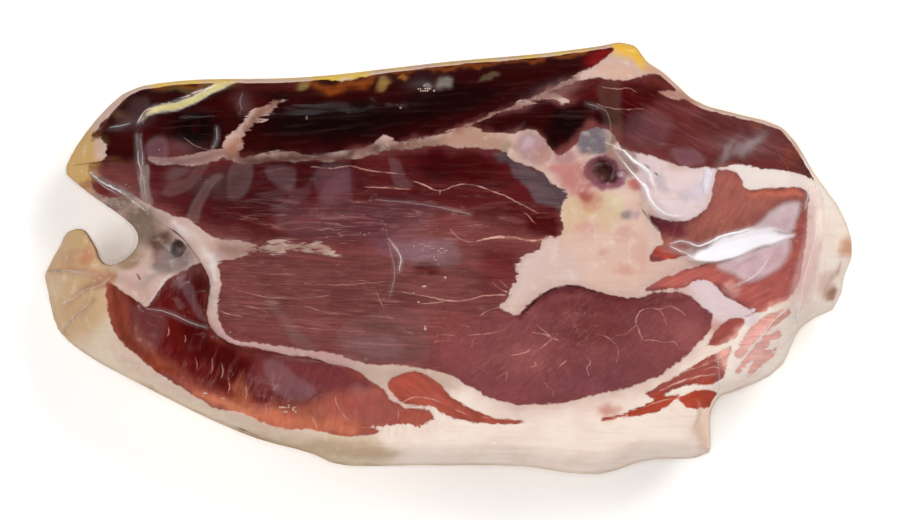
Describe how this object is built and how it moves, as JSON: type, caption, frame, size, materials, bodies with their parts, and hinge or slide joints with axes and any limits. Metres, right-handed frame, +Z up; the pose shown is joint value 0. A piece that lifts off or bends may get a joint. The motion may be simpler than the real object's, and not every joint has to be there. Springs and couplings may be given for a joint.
{
  "type": "cured ham block",
  "caption": "Boned half of a dry-cured ham, cut lengthwise, sealed in tight clear film and lying on its rind with the cut face up.",
  "frame": {"origin": "under the middle of the block, on the surface that it rests on", "axes": "+X along the block from the shank to the butt, +Y across it towards the side of the top muscle, +Z up out of the cut face"},
  "size_m": [0.3415, 0.182, 0.0669],
  "materials": {
    "ham_pack": "dark red cured meat with cream fat under tight, clear, glossy film"
  },
  "bodies": {
    "root": {"ham_pack": "ham_pack"}
  },
  "joints": []
}
